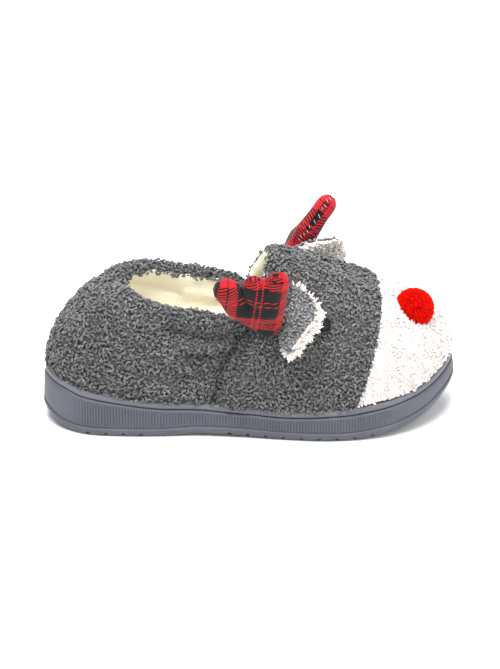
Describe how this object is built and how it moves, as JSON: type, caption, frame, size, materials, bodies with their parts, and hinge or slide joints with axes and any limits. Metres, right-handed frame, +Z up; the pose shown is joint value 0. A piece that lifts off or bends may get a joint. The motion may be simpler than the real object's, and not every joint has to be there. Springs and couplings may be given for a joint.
{
  "type": "house slipper",
  "caption": "Closed-back house slipper with a fleece upper, white toe panel, fabric ears, stuffed tartan antlers, yarn pompom nose and a ribbed rubber sole.",
  "frame": {"origin": "middle of the heel's flat tread, on the floor plane", "axes": "+X from heel to toe, +Y to the inner side of the foot, +Z up"},
  "size_m": [0.27, 0.1464, 0.1342],
  "materials": {
    "sole": "matte moulded",
    "rand": "satin moulded",
    "lining": "cream plush",
    "fleece": "curly grey fleece",
    "toe_fleece": "white fleece",
    "ear_back": "curly grey fleece",
    "ear_front": "white pile",
    "tartan": "red and black tartan, brushed",
    "eye": "glossy black",
    "yarn": "cut red yarn"
  },
  "bodies": {
    "root": {"sole": "sole", "rand": "rand", "insole": "lining", "upper": "fleece", "toe_cap": "toe_fleece", "ear_outer_back": "ear_back", "ear_outer_front": "ear_front", "ear_inner_back": "ear_back", "ear_inner_front": "ear_front", "antler_outer": "tartan", "antler_inner": "tartan", "eye_outer": "eye", "eye_inner": "eye", "pompom": "yarn"}
  },
  "joints": []
}
